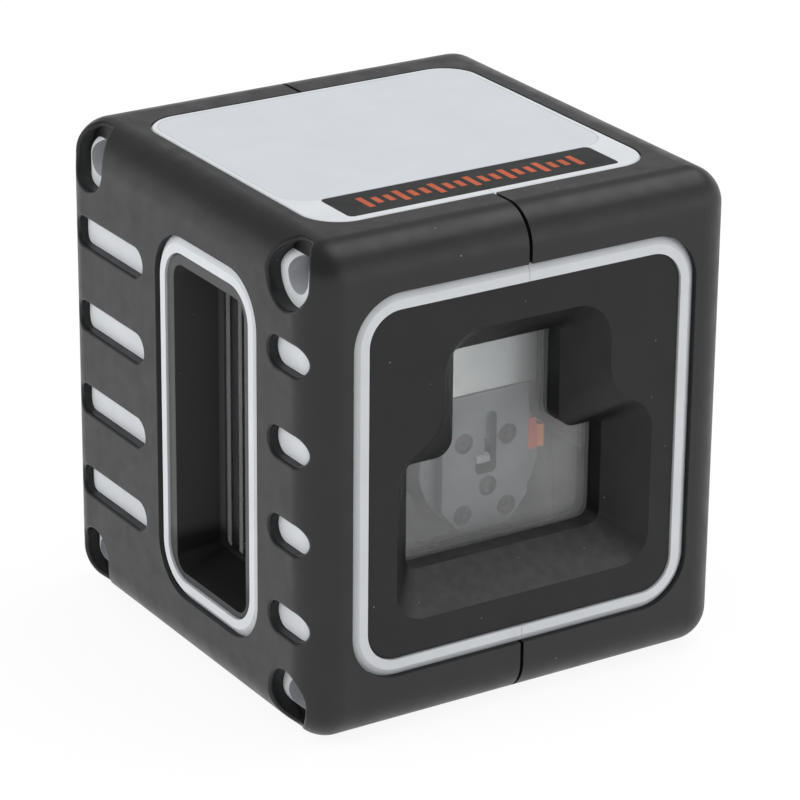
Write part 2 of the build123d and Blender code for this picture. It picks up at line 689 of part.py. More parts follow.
PAD_TOP = DISC_BOTTOM - LOCK_LIFT - 0.3
PAD_THICKNESS = 1.8
with BuildPart() as lock_plunger:
    with BuildSketch(Plane.XY.offset(RAMP_Z - 1)):
        with Locations((PIVOT_X, PIVOT_Y)):
            Circle(PLUNGER_RADIUS)
    extrude(amount=PAD_TOP - PAD_THICKNESS - RAMP_Z + 1)
    with BuildSketch(Plane.YZ.offset(PIVOT_X - 5)):
        with BuildLine():
            Polyline(
                (PIVOT_Y - 6, RAMP_Z - 6),
                (PIVOT_Y + 6, RAMP_Z - 6),
                (PIVOT_Y + 6, RAMP_Z + 0.12 + RAMP_SLOPE * 6),
                (PIVOT_Y - 6, RAMP_Z + 0.12 - RAMP_SLOPE * 6),
                close=True,
            )
        make_face()
    extrude(amount=10, mode=Mode.SUBTRACT)
finish(lock_plunger.part, "lock_plunger")

with BuildPart() as brake_pad:
    with BuildSketch(Plane.XY.offset(PAD_TOP - PAD_THICKNESS)):
        with Locations((PIVOT_X, PIVOT_Y)):
            Circle(PLUNGER_RADIUS + 1.2)
    extrude(amount=PAD_THICKNESS)
    fillet(brake_pad.faces().sort_by(Axis.Z)[-1].edges(), 0.4)
finish(brake_pad.part, "brake_pad")

# Push button for the beams
BUTTON_TRAVEL = 0.5
with BuildPart() as mode_button:
    with BuildSketch(Plane.YZ.offset(PANEL_BACK - 1.4)):
        with Locations((SIDE_Y, BUTTON_Z)):
            Circle(5.0)
    extrude(amount=1.2)
    with BuildSketch(Plane.YZ.offset(PANEL_BACK - 0.4)):
        with Locations((SIDE_Y, BUTTON_Z)):
            Circle(4.05)
    extrude(amount=WIDTH / 2 - 0.2 - PANEL_BACK + 0.4)
    fillet(mode_button.faces().sort_by(Axis.X)[-1].edges(), 0.5)
    with BuildSketch(Plane.YZ.offset(BOARD_X + BOARD_THICKNESS + 3.2)):
        with Locations((SIDE_Y, BUTTON_Z)):
            Circle(1.3)
    extrude(amount=PANEL_BACK - BOARD_X - BOARD_THICKNESS - 4.0)
finish(mode_button.part, "mode_button")

light_parts = []
for y in LIGHT_YS:
    with BuildPart() as light_pipe:
        with BuildSketch(Plane.YZ.offset(BOARD_X + BOARD_THICKNESS + 1.2)):
            with Locations((y, LIGHT_Z)):
                Circle(1.25)
        extrude(amount=WIDTH / 2 - 0.45 - BOARD_X - BOARD_THICKNESS - 1.2)
        fillet(light_pipe.faces().sort_by(Axis.X)[-1].edges(), 0.3)
    light_parts.append(light_pipe.part)
finish(Compound(children=light_parts), "light_pipes")

# Circuit board on the right wall, with its switch and two indicator lamps
with BuildPart() as circuit_board:
    with BuildSketch(Plane.YZ.offset(BOARD_X)):
        with Locations((-5.0, 46.5)):
            RectangleRounded(41.0, 37.0, 1.5)
        with Locations(*BOARD_SCREWS):
            Circle(SMALL_SCREW + 0.1, mode=Mode.SUBTRACT)
    extrude(amount=BOARD_THICKNESS)
finish(circuit_board.part, "circuit_board")

with BuildPart() as tact_switch:
    with BuildSketch(Plane.YZ.offset(BOARD_X + BOARD_THICKNESS)):
        with Locations((SIDE_Y, BUTTON_Z)):
            RectangleRounded(6.0, 6.0, 0.4)
    extrude(amount=1.8)
    with BuildSketch(Plane.YZ.offset(BOARD_X + BOARD_THICKNESS + 1.8)):
        with Locations((SIDE_Y, BUTTON_Z)):
            Circle(1.7)
    extrude(amount=0.6)
finish(tact_switch.part, "tact_switch")

lamps = []
for y in LIGHT_YS:
    with BuildPart() as lamp:
        with BuildSketch(Plane.YZ.offset(BOARD_X + BOARD_THICKNESS)):
            with Locations((y, LIGHT_Z)):
                Rectangle(2.0, 1.4)
        extrude(amount=0.9)
    lamps.append(lamp.part)
finish(Compound(children=lamps), "indicator_leds")

# Levelling unit. The frame hangs under the top wall and its two ears hold the outer bearings.
PIVOT = (PIVOT_X, PIVOT_Y, PIVOT_Z)
EAR_INSIDE = RING_OUTER + 0.6
EAR = 3.0
EAR_HALF_Y = 4.5
with BuildPart() as gimbal_frame:
    with BuildSketch(Plane.XY.offset(FRAME_TOP - FRAME_THICKNESS)):
        with Locations((0, (FRAME_SCREWS[0][1] + FRAME_SCREWS[1][1]) / 2)):
            RectangleRounded(42.0, 26.0, 4.0)
        with Locations((PIVOT_X, PIVOT_Y)):
            Circle(7.0, mode=Mode.SUBTRACT)
        with Locations(*FRAME_SCREWS):
            Circle(SMALL_SCREW + 0.1, mode=Mode.SUBTRACT)
    extrude(amount=FRAME_THICKNESS)
    for side in (-1, 1):
        ear_plane = Plane.YZ.offset(PIVOT_X + side * (EAR_INSIDE + EAR / 2))
        with BuildSketch(ear_plane):
            with Locations((PIVOT_Y, PIVOT_Z)):
                Circle(EAR_HALF_Y)
            with Locations((PIVOT_Y, (PIVOT_Z + FRAME_TOP - 1) / 2)):
                Rectangle(2 * EAR_HALF_Y, FRAME_TOP - 1 - PIVOT_Z)
            with Locations((PIVOT_Y, PIVOT_Z)):
                Circle(BEARING_RADIUS, mode=Mode.SUBTRACT)
        extrude(amount=EAR / 2, both=True)
    # Gussets from each ear to the plate
    for side in (-1, 1):
        with BuildSketch(Plane.XZ.offset(-PIVOT_Y + 1)):
            with BuildLine():
                edge_x = PIVOT_X + side * (EAR_INSIDE + 0.5)
                Polyline(
                    (edge_x, FRAME_TOP - 1),
                    (edge_x - side * 5, FRAME_TOP - 1),
                    (edge_x - side * 5, FRAME_TOP - FRAME_THICKNESS - 0.8),
                    (edge_x, PIVOT_Z + 6.5),
                    close=True,
                )
            make_face()
        extrude(amount=-2)
finish(gimbal_frame.part, "gimbal_frame")


def tube_pair(name, axis_dir, start, length, outer, inner):
    """Two like tubes or pins on one axis through the pivot, one on each side of it."""
    tubes = []
    for side in (-1, 1):
        centre = Vector(PIVOT) + Vector(axis_dir) * side * start
        with BuildPart() as tube:
            with BuildSketch(Plane(origin=centre, z_dir=Vector(axis_dir) * side)):
                Circle(outer)
                if inner:
                    Circle(inner, mode=Mode.SUBTRACT)
            extrude(amount=length)
        tubes.append(tube.part)
    finish(Compound(children=tubes), name)


PIN_SINK = 2.6
HUB_HALF = RING_INNER - 1.2
tube_pair("outer_bearings", (1, 0, 0), EAR_INSIDE, EAR, BEARING_RADIUS, PIN_RADIUS + PIN_FIT)
tube_pair("outer_pins", (1, 0, 0), RING_OUTER - PIN_SINK, PIN_SINK + 0.6 + EAR, PIN_RADIUS, 0)
tube_pair("inner_bearings", (0, 1, 0), RING_INNER + 0.3, 2.6, BEARING_RADIUS, PIN_RADIUS + PIN_FIT)
tube_pair("inner_pins", (0, 1, 0), HUB_HALF - 3.0, 3.0 + RING_INNER + 2.9 - HUB_HALF, PIN_RADIUS, 0)

with BuildPart() as gimbal_ring:
    with BuildSketch(Plane.XY.offset(PIVOT_Z - RING_HEIGHT / 2)):
        with Locations((PIVOT_X, PIVOT_Y)):
            Circle(RING_OUTER)
            Circle(RING_INNER, mode=Mode.SUBTRACT)
    extrude(amount=RING_HEIGHT)
    chamfer(gimbal_ring.faces().filter_by(GeomType.PLANE).edges(), 0.4)
    with BuildSketch(Plane.YZ.offset(PIVOT_X)):
        with Locations((PIVOT_Y, PIVOT_Z)):
            Circle(PIN_RADIUS)
    extrude(amount=RING_OUTER + 1, both=True, mode=Mode.SUBTRACT)
    with BuildSketch(Plane.XZ.offset(-PIVOT_Y)):
        with Locations((PIVOT_X, PIVOT_Z)):
            Circle(BEARING_RADIUS)
    extrude(amount=RING_OUTER + 1, both=True, mode=Mode.SUBTRACT)
finish(gimbal_ring.part, "gimbal_ring")

# Pendulum: one casting with the hub, a neck and the block that takes both beams
BODY_MIDDLE_Y = (BODY_FRONT + BODY_BACK) / 2
BODY_LENGTH = BODY_BACK - BODY_FRONT
SIDE_BARREL_END = PIVOT_X - BARREL_RADIUS - 1.6
BARREL_BACK = -4.0
BALANCE_SCREWS = [(PIVOT_X + x, 28.5) for x in (-6.5, 6.5)]
with BuildPart() as pendulum_body:
    with BuildSketch(Plane.XY.offset(BODY_BOTTOM)):
        with Locations((PIVOT_X, BODY_MIDDLE_Y)):
            RectangleRounded(2 * BODY_HALF_X, BODY_LENGTH, 2.5)
    extrude(amount=BODY_TOP - BODY_BOTTOM)
    # The lower back is cut away, so that the weight hangs under the pivot
    with BuildSketch(Plane.YZ.offset(PIVOT_X - BODY_HALF_X - 1)):
        with BuildLine():
            Polyline(
                (BODY_BACK + 1, BODY_BOTTOM - 1),
                (BODY_BACK + 1, BODY_BOTTOM + 8),
                (BODY_BACK - 3, BODY_BOTTOM + 5),
                (BODY_BACK - 3, BODY_BOTTOM - 1),
                close=True,
            )
        make_face()
    extrude(amount=2 * BODY_HALF_X + 2, mode=Mode.SUBTRACT)
    # Pockets in the back lighten the casting
    with BuildSketch(Plane.XZ.offset(-BODY_BACK - 1)):
        with Locations((PIVOT_X, 37.5)):
            with GridLocations(9.4, 1, 2, 1):
                RectangleRounded(7.2, 12.0, 1.2)
    extrude(amount=7.0, mode=Mode.SUBTRACT)
    # Neck and hub
    with BuildSketch(Plane.XY.offset(BODY_TOP - 1)):
        with Locations((PIVOT_X, PIVOT_Y)):
            RectangleRounded(8.0, 9.0, 1.5)
    extrude(amount=PIVOT_Z - BODY_TOP + 1)
    with BuildSketch(Plane.XY.offset(PIVOT_Z - 3.2)):
        with Locations((PIVOT_X, PIVOT_Y)):
            SlotOverall(2 * HUB_HALF, 7.0, rotation=90)
    extrude(amount=6.4)
    # Bores for the pins and for both barrels
    with BuildSketch(Plane.XZ.offset(-PIVOT_Y)):
        with Locations((PIVOT_X, PIVOT_Z)):
            Circle(PIN_RADIUS)
    extrude(amount=HUB_HALF + 1, both=True, mode=Mode.SUBTRACT)
    with BuildSketch(Plane.XZ.offset(-BODY_FRONT + 1)):
        with Locations((PIVOT_X, BEAM_Z)):
            Circle(BARREL_RADIUS)
    extrude(amount=BODY_FRONT - 1 - BARREL_BACK, mode=Mode.SUBTRACT)
    with BuildSketch(Plane.YZ.offset(PIVOT_X - BODY_HALF_X - 1)):
        with Locations((SIDE_BEAM_Y, SIDE_BEAM_Z)):
            Circle(SIDE_BARREL_RADIUS)
    extrude(amount=SIDE_BARREL_END - PIVOT_X + BODY_HALF_X + 1, mode=Mode.SUBTRACT)
    # Threaded holes for the balance screws
    with BuildSketch(Plane.XZ.offset(-BODY_BACK - 1)):
        with Locations(*BALANCE_SCREWS):
            Circle(0.92)
    extrude(amount=6.0, mode=Mode.SUBTRACT)
finish(pendulum_body.part, "pendulum_body")

COLLAR_FACE = PLATE_FACE + PLATE_THICKNESS
COLLAR_BORE = 3.4
PLATE_SCREWS = [(PIVOT_X + x, z) for x in (-4.05, 4.05) for z in (26.4, 38.5)]
PLATE_SCREW_LENGTH = 2.6
RECESS_RADIUS = 1.7
RECESS_DEPTH = 1.1
with BuildPart() as front_barrel:
    with BuildSketch(Plane.XZ.offset(-BODY_FRONT)):
        with Locations((PIVOT_X, BEAM_Z)):
            Circle(COLLAR_RADIUS)
    extrude(amount=BODY_FRONT - COLLAR_FACE)
    fillet(front_barrel.faces().sort_by(Axis.Y)[0].edges(), 0.4)
    with BuildSketch(Plane.XZ.offset(-COLLAR_FACE)):
        with Locations(*PLATE_SCREWS):
            Circle(SMALL_SCREW)
    extrude(amount=-PLATE_SCREW_LENGTH, mode=Mode.SUBTRACT)
    with BuildSketch(Plane.XZ.offset(-BODY_FRONT)):
        with Locations((PIVOT_X, BEAM_Z)):
            Circle(BARREL_RADIUS)
    extrude(amount=BODY_FRONT - BARREL_BACK + 0.5)
    with BuildSketch(Plane.XZ.offset(-COLLAR_FACE)):
        with Locations((PIVOT_X, BEAM_Z)):
            Circle(COLLAR_BORE)
    extrude(amount=COLLAR_FACE - BARREL_BACK + 1.4, mode=Mode.SUBTRACT)
finish(front_barrel.part, "front_barrel")

# Lens plate: a slot that opens into a pocket, an eye below and its lower corners cut off
PLATE_CORNER_X = 3.5
PLATE_CORNER_Z = 4.2
SLOT_X = PIVOT_X + 0.9
SLOT_WIDTH = 2.2
SLOT_TOP = 43.0
POCKET_WIDTH = 3.8
POCKET_BOTTOM = 32.7
POCKET_TOP = 36.1
POCKET_X = SLOT_X + (SLOT_WIDTH - POCKET_WIDTH) / 2
EYE_X = PIVOT_X + 0.5
EYE_Z = 30.5
EYE_RADIUS = 1.65
with BuildPart() as lens_plate:
    plane = Plane(origin=(PIVOT_X, COLLAR_FACE, 0), x_dir=(1, 0, 0), z_dir=(0, -1, 0))
    with BuildSketch(plane) as plate_sketch:
        with BuildLine():
            Polyline(
                (-PLATE_HALF_X, PLATE_TOP),
                (-PLATE_HALF_X, PLATE_BOTTOM + PLATE_CORNER_Z),
                (PLATE_CORNER_X - PLATE_HALF_X, PLATE_BOTTOM),
                (PLATE_HALF_X - PLATE_CORNER_X, PLATE_BOTTOM),
                (PLATE_HALF_X, PLATE_BOTTOM + PLATE_CORNER_Z),
                (PLATE_HALF_X, PLATE_TOP),
                close=True,
            )
        make_face()
        rows = plate_sketch.vertices().group_by(Axis.Y)
        fillet(rows[0] + rows[1], 1.6)
    extrude(amount=PLATE_THICKNESS)
    with BuildSketch(Plane.XZ.offset(-COLLAR_FACE)):
        with Locations((SLOT_X, (POCKET_TOP + SLOT_TOP) / 2 - 1)):
            SlotOverall(SLOT_TOP - POCKET_TOP + 2, SLOT_WIDTH, rotation=90)
        with Locations((POCKET_X, (POCKET_BOTTOM + POCKET_TOP) / 2)):
            RectangleRounded(POCKET_WIDTH, POCKET_TOP - POCKET_BOTTOM, 0.9)
        with Locations((POCKET_X, POCKET_TOP - 0.6)):
            Rectangle(POCKET_WIDTH, 1.2)
        with Locations((EYE_X, EYE_Z)):
            Circle(EYE_RADIUS)
        with Locations(*PLATE_SCREWS):
            Circle(SMALL_SCREW + 0.1)
    extrude(amount=PLATE_THICKNESS, mode=Mode.SUBTRACT)
    with BuildSketch(Plane.XZ.offset(-PLATE_FACE - RECESS_DEPTH)):
        with Locations(*PLATE_SCREWS):
            Circle(RECESS_RADIUS)
    extrude(amount=RECESS_DEPTH + 1, mode=Mode.SUBTRACT)
finish(lens_plate.part, "lens_plate")

plate_planes = [
    Plane(origin=(x, PLATE_FACE + RECESS_DEPTH, z), x_dir=(1, 0, 0), z_dir=(0, -1, 0))
    for x, z in PLATE_SCREWS
]
screw_group("plate_screws", plate_planes, 1.5, 0.5, SMALL_SCREW - 0.02, PLATE_SCREW_LENGTH, 0.5)

UPPER_LENS_Z = 35.2
UPPER_LENS_LENGTH = 2.4
with BuildPart() as upper_lens:
    with BuildSketch(Plane.YZ.offset(POCKET_X - POCKET_WIDTH / 2 + 0.03)):
        with Locations((PLATE_FACE + 0.5, UPPER_LENS_Z)):
            Circle(0.85)
    extrude(amount=UPPER_LENS_LENGTH)
finish(upper_lens.part, "upper_lens")

with BuildPart() as lower_lens:
    with BuildSketch(Plane.XY.offset(EYE_Z - 1.25)):
        with Locations((EYE_X, PLATE_FACE + 0.8)):
            Circle(0.75)
    extrude(amount=2.5)
finish(lower_lens.part, "lower_lens")

# Bright metal block over the plate
with BuildPart() as laser_block:
    with BuildSketch(Plane.XZ.offset(-BLOCK_BACK)) as laser_block_sketch:
        with BuildLine():
            Polyline(
                (BLOCK_LEFT, BLOCK_BOTTOM),
                (BLOCK_RIGHT, BLOCK_BOTTOM),
                (BLOCK_RIGHT, BLOCK_TOP),
                (BLOCK_LEFT, BLOCK_TOP),
                close=True,
            )
        make_face()
        fillet(laser_block_sketch.vertices(), 0.8)
        with Locations((-5.9, 58.0)):
            Circle(1.25, mode=Mode.SUBTRACT)
    extrude(amount=BLOCK_BACK - BLOCK_FACE)
    chamfer(laser_block.faces().sort_by(Axis.Y)[0].edges().filter_by(GeomType.LINE), 0.3)
    # Foot that bolts to the casting
    with BuildSketch(Plane.XY.offset(BODY_TOP)):
        with Locations((PIVOT_X, (BLOCK_BACK + BODY_FRONT) / 2 + 2)):
            Rectangle(16.0, BODY_FRONT - BLOCK_BACK + 4.0)
    extrude(amount=2.2)
finish(laser_block.part, "laser_block")

with BuildPart() as side_barrel:
    with BuildSketch(Plane.YZ.offset(SIDE_BARREL_TIP)):
        with Locations((SIDE_BEAM_Y, SIDE_BEAM_Z)):
            Circle(SIDE_BARREL_RADIUS)
    extrude(amount=SIDE_BARREL_END - SIDE_BARREL_TIP)
    chamfer(side_barrel.faces().sort_by(Axis.X)[0].edges(), 0.5)
    with BuildSketch(Plane.YZ.offset(SIDE_BARREL_TIP)):
        with Locations((SIDE_BEAM_Y, SIDE_BEAM_Z)):
            SlotOverall(5.6, 2.0)
    extrude(amount=8, mode=Mode.SUBTRACT)
finish(side_barrel.part, "side_barrel")

with BuildPart() as side_lens:
    with BuildSketch(Plane.XZ.offset(-SIDE_BEAM_Y - 1.7)):
        with Locations((SIDE_BARREL_TIP + 0.9, SIDE_BEAM_Z)):
            Circle(0.97)
    extrude(amount=3.4)
finish(side_lens.part, "side_lens")

# Orange strip of flexible circuit: a tab on the collar, a fold in front of it and a tail to the casting
STRIP = 0.25
TAB_FROM = PIVOT_X + PLATE_HALF_X + 0.2
FOLD_FROM = 11.6
TAIL_X = 12.7
TAIL_END = -12.0
CASTING_SIDE = PIVOT_X + BODY_HALF_X
with BuildPart() as flex_strip:
    with BuildSketch(Plane.XZ.offset(-COLLAR_FACE)):
        with Locations(((TAB_FROM + FOLD_FROM) / 2, 36.9)):
            Rectangle(FOLD_FROM - TAB_FROM + 0.2, 5.2)
    extrude(amount=STRIP)
    with BuildSketch(Plane.XY.offset(34.6)):
        with BuildLine():
            Polyline(
                (FOLD_FROM, COLLAR_FACE),
                (FOLD_FROM, COLLAR_FACE - STRIP),
                (TAIL_X - 0.1, COLLAR_FACE - 0.95),
                (TAIL_X + STRIP, COLLAR_FACE - 0.75),
                (TAIL_X + STRIP, TAIL_END - 0.6),
                (CASTING_SIDE + STRIP, TAIL_END),
                (CASTING_SIDE, TAIL_END),
                (CASTING_SIDE, TAIL_END - STRIP),
                (TAIL_X, TAIL_END - 0.9),
                (TAIL_X, COLLAR_FACE - 0.55),
                close=True,
            )
        make_face()
    extrude(amount=3.7)
finish(flex_strip.part, "flex_strip")

# Copper disc with a spherical underside about the pivot, so that it clears the brake at any tilt
DISC_SPHERE = PIVOT_Z - DISC_BOTTOM
DISC_RIM_Z = PIVOT_Z - sqrt(DISC_SPHERE**2 - DISC_RADIUS**2)
with BuildPart() as copper_disc:
    with BuildSketch(Plane(origin=(PIVOT_X, PIVOT_Y, 0), x_dir=(1, 0, 0), z_dir=(0, -1, 0))):
        with BuildLine():
            Line((0, BODY_BOTTOM), (0, DISC_BOTTOM))
            ThreePointArc(
                (0, DISC_BOTTOM),
                (DISC_RADIUS / 2, PIVOT_Z - sqrt(DISC_SPHERE**2 - (DISC_RADIUS / 2) ** 2)),
                (DISC_RADIUS, DISC_RIM_Z),
            )
            Line((DISC_RADIUS, DISC_RIM_Z), (DISC_RADIUS, BODY_BOTTOM))
            Line((DISC_RADIUS, BODY_BOTTOM), (0, BODY_BOTTOM))
        make_face()
    revolve(axis=Axis((PIVOT_X, PIVOT_Y, 0), (0, 0, 1)))
finish(copper_disc.part, "copper_disc")

balance_planes = [
    Plane(origin=(x, BODY_BACK, z), x_dir=(1, 0, 0), z_dir=(0, 1, 0)) for x, z in BALANCE_SCREWS
]
screw_group("balance_screws", balance_planes, 1.6, 1.2, 0.9, 4.0, 0.7)

# Fixed frame under the pendulum, with the guide of the brake plunger and the damping magnets
with BuildPart() as base_frame:
    with BuildSketch(Plane.XY.offset(BASE_FRAME_Z)):
        with Locations((PIVOT_X + 0.1, -3.5)):
            RectangleRounded(35.0, 35.0, 3.0)
        with Locations((PIVOT_X, PIVOT_Y)):
            Circle(PLUNGER_RADIUS + 0.06, mode=Mode.SUBTRACT)
    extrude(amount=BASE_FRAME_THICKNESS)
    with BuildSketch(Plane.XY.offset(SHELL + 0.02)):
        with Locations(*BASE_POSTS):
            Circle(2.0)
    extrude(amount=BASE_FRAME_Z - SHELL + 0.5)
    with BuildSketch(Plane.XY.offset(SHELL)):
        with Locations(*BASE_POSTS):
            Circle(SMALL_SCREW)
    extrude(amount=BASE_FRAME_Z, mode=Mode.SUBTRACT)
finish(base_frame.part, "base_frame")

base_planes = [
    Plane(origin=(x, y, BASE_FRAME_Z + BASE_FRAME_THICKNESS), x_dir=(1, 0, 0), z_dir=(0, 0, 1))
    for x, y in BASE_POSTS
]
screw_group("base_screws", base_planes, 1.7, 1.3, SMALL_SCREW - 0.02, 7.5, 0.8)

magnets = []
for offset in (-9.5, 9.5):
    with BuildPart() as magnet:
        with BuildSketch(Plane.XY.offset(BASE_FRAME_Z + BASE_FRAME_THICKNESS)):
            with Locations((PIVOT_X, PIVOT_Y + offset)):
                RectangleRounded(10.0, 6.0, 0.6)
        extrude(amount=2.6)
    magnets.append(magnet.part)
finish(Compound(children=magnets), "damping_magnets")

# Battery compartment behind the levelling unit
CELL_ZS = [FRONT_Z + offset for offset in (-CELL_PITCH, 0.0, CELL_PITCH)]
TRAY_WALL = 1.2
TRAY_HALF_X = 27.5
TRAY_HALF_Z = 24.2
TRAY_FRONT = CELL_Y - CELL_RADIUS - 0.3 - TRAY_WALL
TRAY_BACK = DEPTH / 2 - 2.6
with BuildPart() as battery_tray:
    with BuildSketch(Plane.XZ.offset(-TRAY_BACK)):
        with Locations((0, FRONT_Z)):
            RectangleRounded(2 * TRAY_HALF_X, 2 * TRAY_HALF_Z, 2.5)
    extrude(amount=TRAY_BACK - TRAY_FRONT)
    with BuildSketch(Plane.XZ.offset(-TRAY_BACK)):
        with Locations((0, FRONT_Z)):
            RectangleRounded(2 * (TRAY_HALF_X - TRAY_WALL), 2 * (TRAY_HALF_Z - TRAY_WALL), 1.3)
    extrude(amount=TRAY_BACK - TRAY_FRONT - TRAY_WALL, mode=Mode.SUBTRACT)
    # Cradle ribs between the cells
    with BuildSketch(Plane.YZ):
        for z in (CELL_ZS[0] + CELL_PITCH / 2, CELL_ZS[1] + CELL_PITCH / 2):
            with BuildLine():
                Polyline(
                    (TRAY_FRONT + 0.5, z - 3.2),
                    (TRAY_FRONT + 0.5, z + 3.2),
                    (CELL_Y - 1.6, z + 0.35),
                    (CELL_Y - 1.6, z - 0.35),
                    close=True,
                )
            make_face()
        with Locations(*[(CELL_Y, z) for z in CELL_ZS]):
            Circle(CELL_RADIUS + 0.1, mode=Mode.SUBTRACT)
    extrude(amount=1.2, both=True)
finish(battery_tray.part, "battery_tray")

CELL_SHIFT = 1.2
NUB_RADIUS = 2.7
NUB = 1.0
for index, z in enumerate(CELL_ZS):
    turn = 1 if index % 2 == 0 else -1
    with BuildPart() as cell:
        axis_start = turn * (CELL_SHIFT - CELL_LENGTH / 2)
        with BuildSketch(Plane(origin=(axis_start, CELL_Y, z), x_dir=(0, 1, 0), z_dir=(turn, 0, 0))):
            Circle(CELL_RADIUS)
        extrude(amount=CELL_LENGTH - NUB)
        fillet(cell.edges(), 0.5)
        with BuildSketch(Plane(origin=(axis_start, CELL_Y, z), x_dir=(0, 1, 0), z_dir=(turn, 0, 0))):
            Circle(NUB_RADIUS)
        extrude(amount=CELL_LENGTH)
    finish(cell.part, "cell_" + str(index + 1))

# Sheet contacts at both ends of the cells
CONTACT = 0.3
contacts = []
for side in (-1, 1):
    for z in CELL_ZS:
        with BuildPart() as contact:
            with BuildSketch(Plane.YZ.offset(side * (TRAY_HALF_X - TRAY_WALL - CONTACT / 2))):
                with Locations((CELL_Y, z)):
                    RectangleRounded(9.0, 9.0, 1.0)
            extrude(amount=CONTACT / 2, both=True)
        contacts.append(contact.part)
finish(Compound(children=contacts), "contact_plates")

# Conical springs at the flat ends of the cells
WIRE = 0.25
SPRING_TURNS = 3
SPRING_RADIUS = 3.6
SPRING_CONE = 40
springs = []
for index, z in enumerate(CELL_ZS):
    turn = 1 if index % 2 == 0 else -1
    wall_x = -turn * (TRAY_HALF_X - TRAY_WALL - CONTACT - WIRE)
    flat_end = turn * (CELL_SHIFT - CELL_LENGTH / 2)
    height = abs(flat_end - wall_x) - WIRE - 0.05
    coil = Helix(pitch=height / SPRING_TURNS, height=height, radius=SPRING_RADIUS, cone_angle=-SPRING_CONE)
    wire = Plane(origin=coil @ 0, z_dir=coil % 0) * RegularPolygon(WIRE, 6)
    spring = sweep(wire, path=coil, is_frenet=True)
    springs.append(Plane(origin=(wall_x, CELL_Y, z), x_dir=(0, 1, 0), z_dir=(turn, 0, 0)) * spring)
finish(Compound(children=springs), "contact_springs")

# Battery door: it turns out of the rear rim on two pins at its lower edge
DOOR_GAP = 0.25
DOOR_SINK = 0.4
DOOR_HALF_X = FRONT_HALF_X - RIM_WIDTH - DOOR_GAP
DOOR_HALF_Z = FRONT_HALF_Z - RIM_WIDTH - DOOR_GAP
HINGE_TAB_HALF = 21.8
NOTCH_TOP = DOOR_HINGE_Z + 2.4
with BuildPart() as battery_door:
    add(
        opening_prism(
            REAR, DOOR_HALF_X, DOOR_HALF_Z, INNER_RADIUS - DOOR_GAP, DOOR_SINK, DOOR_SINK + DOOR_THICKNESS
        )
    )
    fillet(battery_door.faces().sort_by(Axis.Y)[-1].edges(), 0.5)
    # Thumb dish at the top and grip ribs below it
    with BuildSketch(Plane.XY.offset(FRONT_Z + DOOR_HALF_Z - 9)):
        with Locations((0, DEPTH / 2 - DOOR_SINK + 5.2)):
            Circle(6.4)
    extrude(amount=6.5, mode=Mode.SUBTRACT)
    # The lower edge is rounded about the hinge, and notched at its ends
    with BuildSketch(Plane.YZ):
        with Locations((HINGE_Y, DOOR_HINGE_Z - 3)):
            Rectangle(6, 6)
    extrude(amount=40, both=True, mode=Mode.SUBTRACT)
    for side in (-1, 1):
        with BuildSketch(Plane.YZ.offset(side * (HINGE_TAB_HALF + 10))):
            with Locations((HINGE_Y, NOTCH_TOP - 3)):
                Rectangle(6, 6)
        extrude(amount=10, both=True, mode=Mode.SUBTRACT)
    with BuildSketch(Plane.YZ):
        with Locations((HINGE_Y, DOOR_HINGE_Z)):
            Circle(DOOR_THICKNESS / 2)
    extrude(amount=HINGE_TAB_HALF, both=True)
    with BuildSketch(Plane.YZ):
        with Locations((HINGE_Y, DOOR_HINGE_Z)):
            Circle(HINGE_PIN_RADIUS)
    extrude(amount=HINGE_PIN_TIP, both=True)
finish(battery_door.part, "battery_door")
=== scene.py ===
"""Looks of the cube-shaped laser level: materials, the marks on the dark band, studio and camera."""

import json

import bmesh
import bpy
from mathutils import Matrix, Vector

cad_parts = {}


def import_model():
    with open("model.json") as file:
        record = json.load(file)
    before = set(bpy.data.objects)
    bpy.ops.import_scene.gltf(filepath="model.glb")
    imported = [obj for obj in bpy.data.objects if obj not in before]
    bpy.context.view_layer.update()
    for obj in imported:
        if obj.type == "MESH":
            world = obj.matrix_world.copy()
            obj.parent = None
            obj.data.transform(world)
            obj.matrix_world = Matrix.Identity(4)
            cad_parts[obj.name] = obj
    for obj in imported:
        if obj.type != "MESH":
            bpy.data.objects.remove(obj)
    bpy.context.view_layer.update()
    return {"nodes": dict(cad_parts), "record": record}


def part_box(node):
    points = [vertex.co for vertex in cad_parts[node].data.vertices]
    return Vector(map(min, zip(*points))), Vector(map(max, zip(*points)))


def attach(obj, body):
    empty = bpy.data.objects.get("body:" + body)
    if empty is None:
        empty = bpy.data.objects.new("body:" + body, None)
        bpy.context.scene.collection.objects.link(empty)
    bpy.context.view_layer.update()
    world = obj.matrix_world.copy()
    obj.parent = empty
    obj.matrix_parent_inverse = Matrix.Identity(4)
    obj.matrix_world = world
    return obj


MM = 0.001

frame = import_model()
nodes = frame["nodes"]


# Materials


def linear(r, g, b):
    """A colour as read from a screen, 0 to 255, turned into Blender's linear values."""
    return tuple((c / 255 / 12.92) if c <= 10 else ((c / 255 + 0.055) / 1.055) ** 2.4 for c in (r, g, b))


# The screw wells of the left side, which get a painted shade, the middle of the side pane's thickness and
# the soft edge of its painted reflection streaks, in mm
WELL_Y = 30.5
WELL_MIDDLE_Z = 40.0
WELL_RISE = 34.2
WELL_RADIUS = 2.9
SIDE_PANE_X = -29.0
PAINTED_STREAK_EDGE = 0.3


